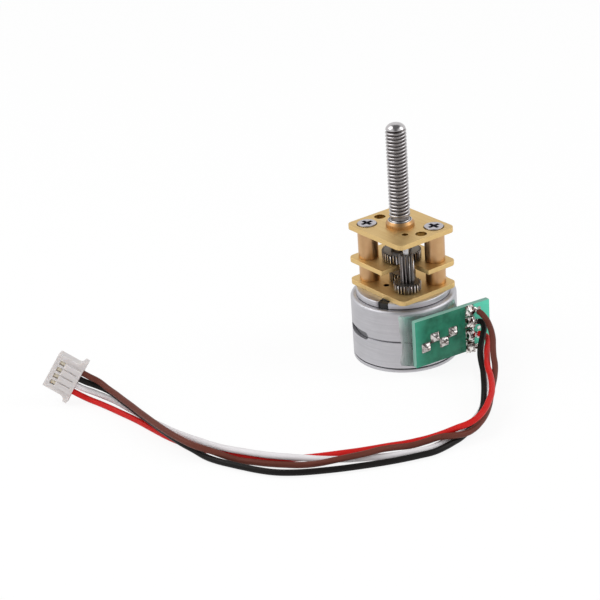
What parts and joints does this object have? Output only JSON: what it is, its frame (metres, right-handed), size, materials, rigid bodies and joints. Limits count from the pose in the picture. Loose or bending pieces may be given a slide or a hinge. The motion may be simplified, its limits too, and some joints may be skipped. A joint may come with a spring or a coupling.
{
  "type": "stepper motor with lead screw",
  "caption": "Small round tin-can stepper motor with an open plate gearbox, an M3 lead screw on the output and a soldered wire lead with a flat plug.",
  "frame": {"origin": "centre of the can's base, on the axis of the motor and the lead screw", "axes": "+Z along the lead screw away from the motor, +X along the long side of the gearbox plates towards the circuit board, +Y along their short side"},
  "size_m": [0.0501, 0.0549, 0.0342],
  "materials": {
    "can": "satin tinned sheet steel",
    "black_plastic": "moulded",
    "copper_winding": "enamelled copper wire",
    "pole_steel": "stamped steel",
    "bronze": "sintered bronze",
    "magnet": "ground ferrite",
    "shaft_steel": "ground steel",
    "gear_steel": "hobbed steel",
    "brass": "blanked brass sheet and turned brass",
    "screw_steel": "nickel plated",
    "lead_screw_steel": "rolled thread",
    "resin": "translucent moulded",
    "tinned_pin": "tinned",
    "board": "green solder mask on glass-fibre board",
    "solder": "hand-soldered tin",
    "wire_brown": "extruded insulation",
    "wire_black": "extruded insulation",
    "wire_white": "extruded insulation",
    "wire_red": "extruded insulation",
    "plug_nylon": "natural nylon",
    "contact_brass": "stamped"
  },
  "bodies": {
    "base": {"bottom_cover": "can", "lower_shell": "can", "upper_shell": "can", "front_flange": "can", "lower_bobbin": "black_plastic", "upper_bobbin": "black_plastic", "lower_coil": "copper_winding", "upper_coil": "copper_winding", "lower_yoke": "pole_steel", "upper_yoke": "pole_steel", "rear_bearing": "bronze", "front_bearing": "bronze", "output_bush": "bronze", "gear_arbor": "shaft_steel", "motor_plate": "brass", "middle_plate": "brass", "front_plate": "brass", "lower_spacers": "brass", "upper_spacers": "brass", "clamp_screws": "screw_steel", "terminal_block": "resin", "coil_pins": "tinned_pin", "circuit_board": "board", "pin_solder": "solder", "wire_solder": "solder", "wire_brown": "wire_brown", "wire_black": "wire_black", "wire_white": "wire_white", "wire_red": "wire_red", "plug_housing": "plug_nylon", "plug_contacts": "contact_brass"},
    "rotor": {"rotor_magnet": "magnet", "rotor_shaft": "shaft_steel", "motor_pinion": "gear_steel"},
    "compound": {"compound_wheel": "gear_steel", "compound_pinion": "gear_steel"},
    "output": {"lead_screw": "lead_screw_steel", "output_gear": "gear_steel"}
  },
  "joints": [
    {"name": "rotor_spin", "type": "hinge", "parent": "base", "child": "rotor", "pos_m": [0, 0, 0.005], "axis": [0, 0, 1], "continuous": true},
    {"name": "compound_spin", "type": "hinge", "parent": "base", "child": "compound", "pos_m": [0.00309, -0.0017, 0.0135], "axis": [0, 0, 1], "continuous": true},
    {"name": "output_spin", "type": "hinge", "parent": "base", "child": "output", "pos_m": [0, 0, 0.02], "axis": [0, 0, 1], "continuous": true}
  ],
  "couplings": [
    {"joint": "compound_spin", "follows": "rotor_spin", "ratio": -0.95833},
    {"joint": "output_spin", "follows": "rotor_spin", "ratio": 0.29282}
  ]
}
